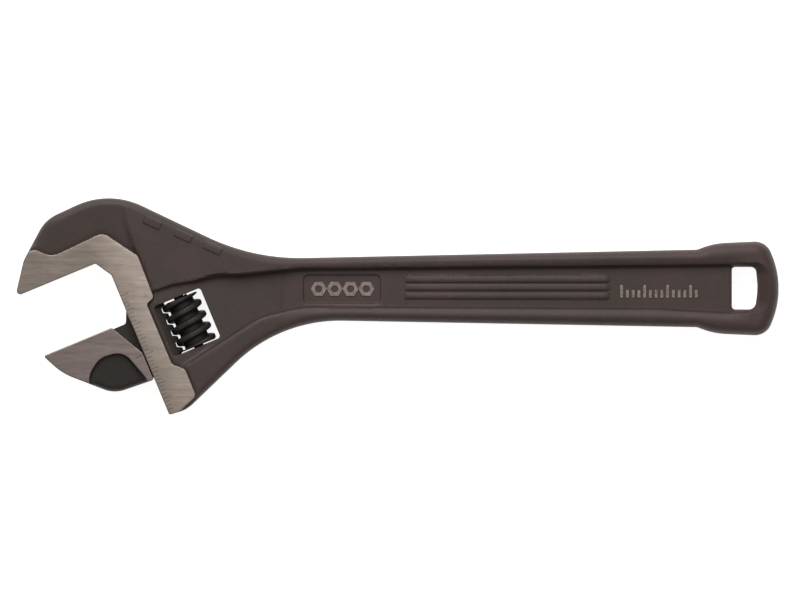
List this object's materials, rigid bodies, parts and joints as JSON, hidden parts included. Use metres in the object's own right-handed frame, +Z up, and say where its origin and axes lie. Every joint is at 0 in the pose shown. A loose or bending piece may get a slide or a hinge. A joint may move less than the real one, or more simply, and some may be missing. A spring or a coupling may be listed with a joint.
{
  "type": "adjustable wrench",
  "caption": "Adjustable wrench with an I-section handle, an angled head, and a lower jaw that slides on a rack driven by a worm.",
  "frame": {"origin": "on the plane of the head's lower side, under the middle of the outline's box, with the wrench lying flat", "axes": "+X from the jaws along the handle to its end, +Z up through the thickness, +Y from the moving jaw towards the fixed jaw; the head is turned 22.5 degrees about +Z"},
  "size_m": [0.3047, 0.0866, 0.018],
  "materials": {
    "forged_steel": "dark brown-black coated forging, bare ground steel on the jaw strip and band",
    "jaw_steel": "bare ground steel with a dark coated hollow and web",
    "blacked_steel": "black oxide, lightly oiled",
    "spring_steel": "drawn wire"
  },
  "bodies": {
    "frame": {"wrench_body": "forged_steel", "worm_pin": "blacked_steel", "worm_spring": "spring_steel"},
    "jaw": {"moving_jaw": "jaw_steel"},
    "worm": {"adjusting_worm": "blacked_steel"}
  },
  "joints": [
    {"name": "jaw_slide", "type": "slide", "parent": "frame", "child": "jaw", "axis": [0.3827, -0.9239, 0], "range_m": [-0.026, 0.012]},
    {"name": "worm_spin", "type": "hinge", "parent": "frame", "child": "worm", "pos_m": [-0.08356, -0.00624, 0.009], "axis": [0.3827, -0.9239, 0], "range_deg": [-885, 1915]}
  ],
  "couplings": [
    {"joint": "worm_spin", "follows": "jaw_slide", "rad_per_m": -1282.3}
  ]
}
